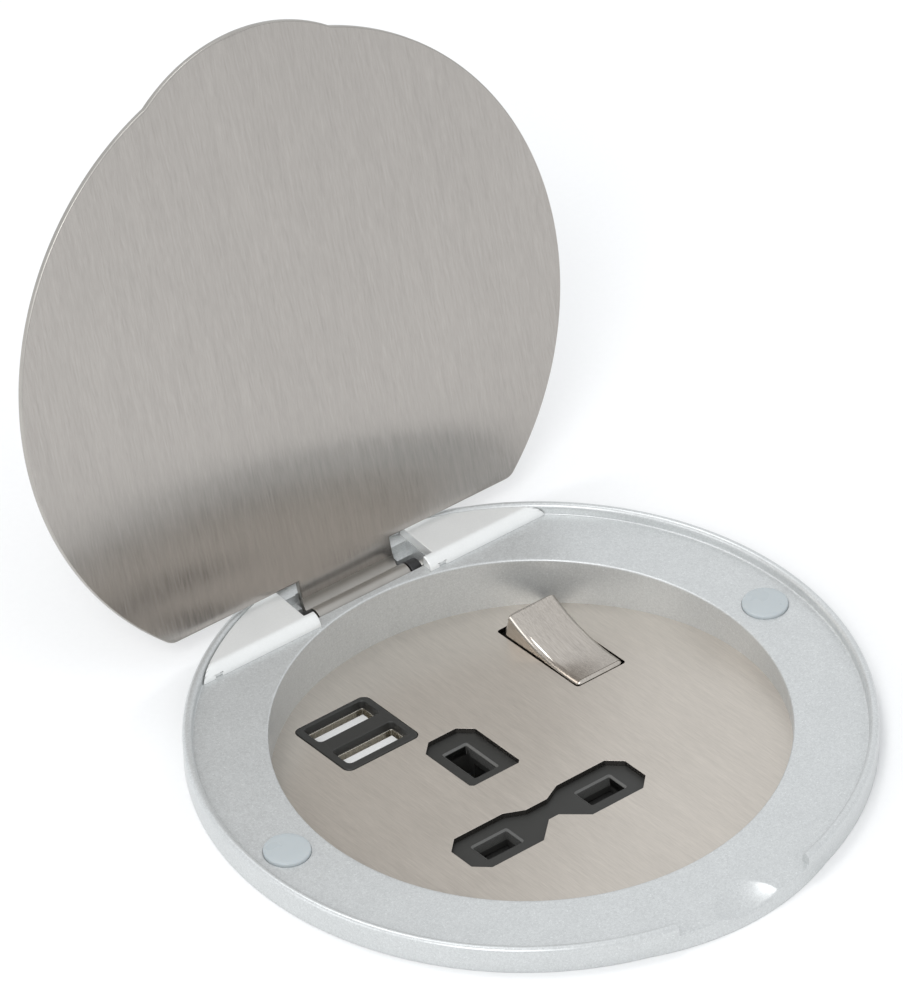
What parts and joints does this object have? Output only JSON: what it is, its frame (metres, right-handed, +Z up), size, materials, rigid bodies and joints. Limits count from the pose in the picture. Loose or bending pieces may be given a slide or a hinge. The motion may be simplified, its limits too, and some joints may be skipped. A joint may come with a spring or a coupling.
{
  "type": "recessed desk socket",
  "caption": "Round unit set into a desk: a hinged brushed lid over a well with a switched square-pin socket and charging ports.",
  "frame": {"origin": "on the barrel's axis, in the plane of the desk surface under the flange", "axes": "+Z up out of the desk, +Y towards the hinge, +X along the hinge"},
  "size_m": [0.1228, 0.1422, 0.1682],
  "materials": {
    "silver_cast": "fine silver metallic paint",
    "silver_moulding": "smooth silver paint",
    "lid_steel": "brushed away from the hinge, polished edge",
    "plate_steel": "brushed towards the hinge",
    "rocker_nickel": "satin nickel, brushed lengthways",
    "pin_steel": "polished",
    "screw_steel": "zinc plated",
    "shell_steel": "stamped and plated",
    "contact_brass": "plain",
    "insert_black": "fine matte",
    "back_grey": "moulded",
    "bush_nylon": "moulded",
    "shutter_black": "moulded",
    "tongue_white": "moulded",
    "bumper_clear": "clear silicone",
    "board_green": "coated circuit board"
  },
  "bodies": {
    "housing": {"bezel_ring": "silver_cast", "hinge_cover_left": "silver_moulding", "hinge_cover_right": "silver_moulding", "cover_screws": "screw_steel", "hinge_pin": "pin_steel", "hinge_bushes": "bush_nylon", "lid_bumpers": "bumper_clear", "face_plate": "plate_steel", "socket_front": "insert_black", "shutter_spring": "screw_steel", "earth_contact": "contact_brass", "line_contact": "contact_brass", "neutral_contact": "contact_brass", "socket_back": "back_grey", "terminal_screws": "screw_steel", "back_screws": "screw_steel", "switch_axle": "screw_steel", "switch_studs": "contact_brass", "usb_bezel": "insert_black", "usb_shells": "shell_steel", "usb_tongues": "tongue_white", "usb_contacts": "contact_brass", "usb_board": "board_green", "usb_case": "insert_black", "module_screws": "screw_steel", "base_cover": "back_grey", "base_screws": "screw_steel", "cable_gland": "insert_black", "gland_nut": "insert_black"},
    "lid": {"lid": "lid_steel"},
    "rocker": {"rocker_switch": "rocker_nickel", "switch_contact": "contact_brass"},
    "shutter": {"shutter": "shutter_black"},
    "locking_ring": {"locking_ring": "back_grey"}
  },
  "joints": [
    {"name": "lid_hinge", "type": "hinge", "parent": "housing", "child": "lid", "pos_m": [0, 0.0488, 0.00066], "axis": [1, 0, 0], "range_deg": [0, 104.9]},
    {"name": "rocker_pivot", "type": "hinge", "parent": "housing", "child": "rocker", "pos_m": [0.0233, 0.02127, -0.00957], "axis": [1, 0, 0], "range_deg": [-27.2, 0]},
    {"name": "shutter_slide", "type": "slide", "parent": "housing", "child": "shutter", "axis": [0, -0.9954, 0.0958], "range_m": [0, 0.0055], "stiffness_N_per_m": 40, "springref_m": -0.003, "deforming": ["shutter_spring"]},
    {"name": "locking_ring_travel", "type": "slide", "parent": "housing", "child": "locking_ring", "axis": [0, 0, 1], "range_m": [-0.008, 0.014]}
  ]
}
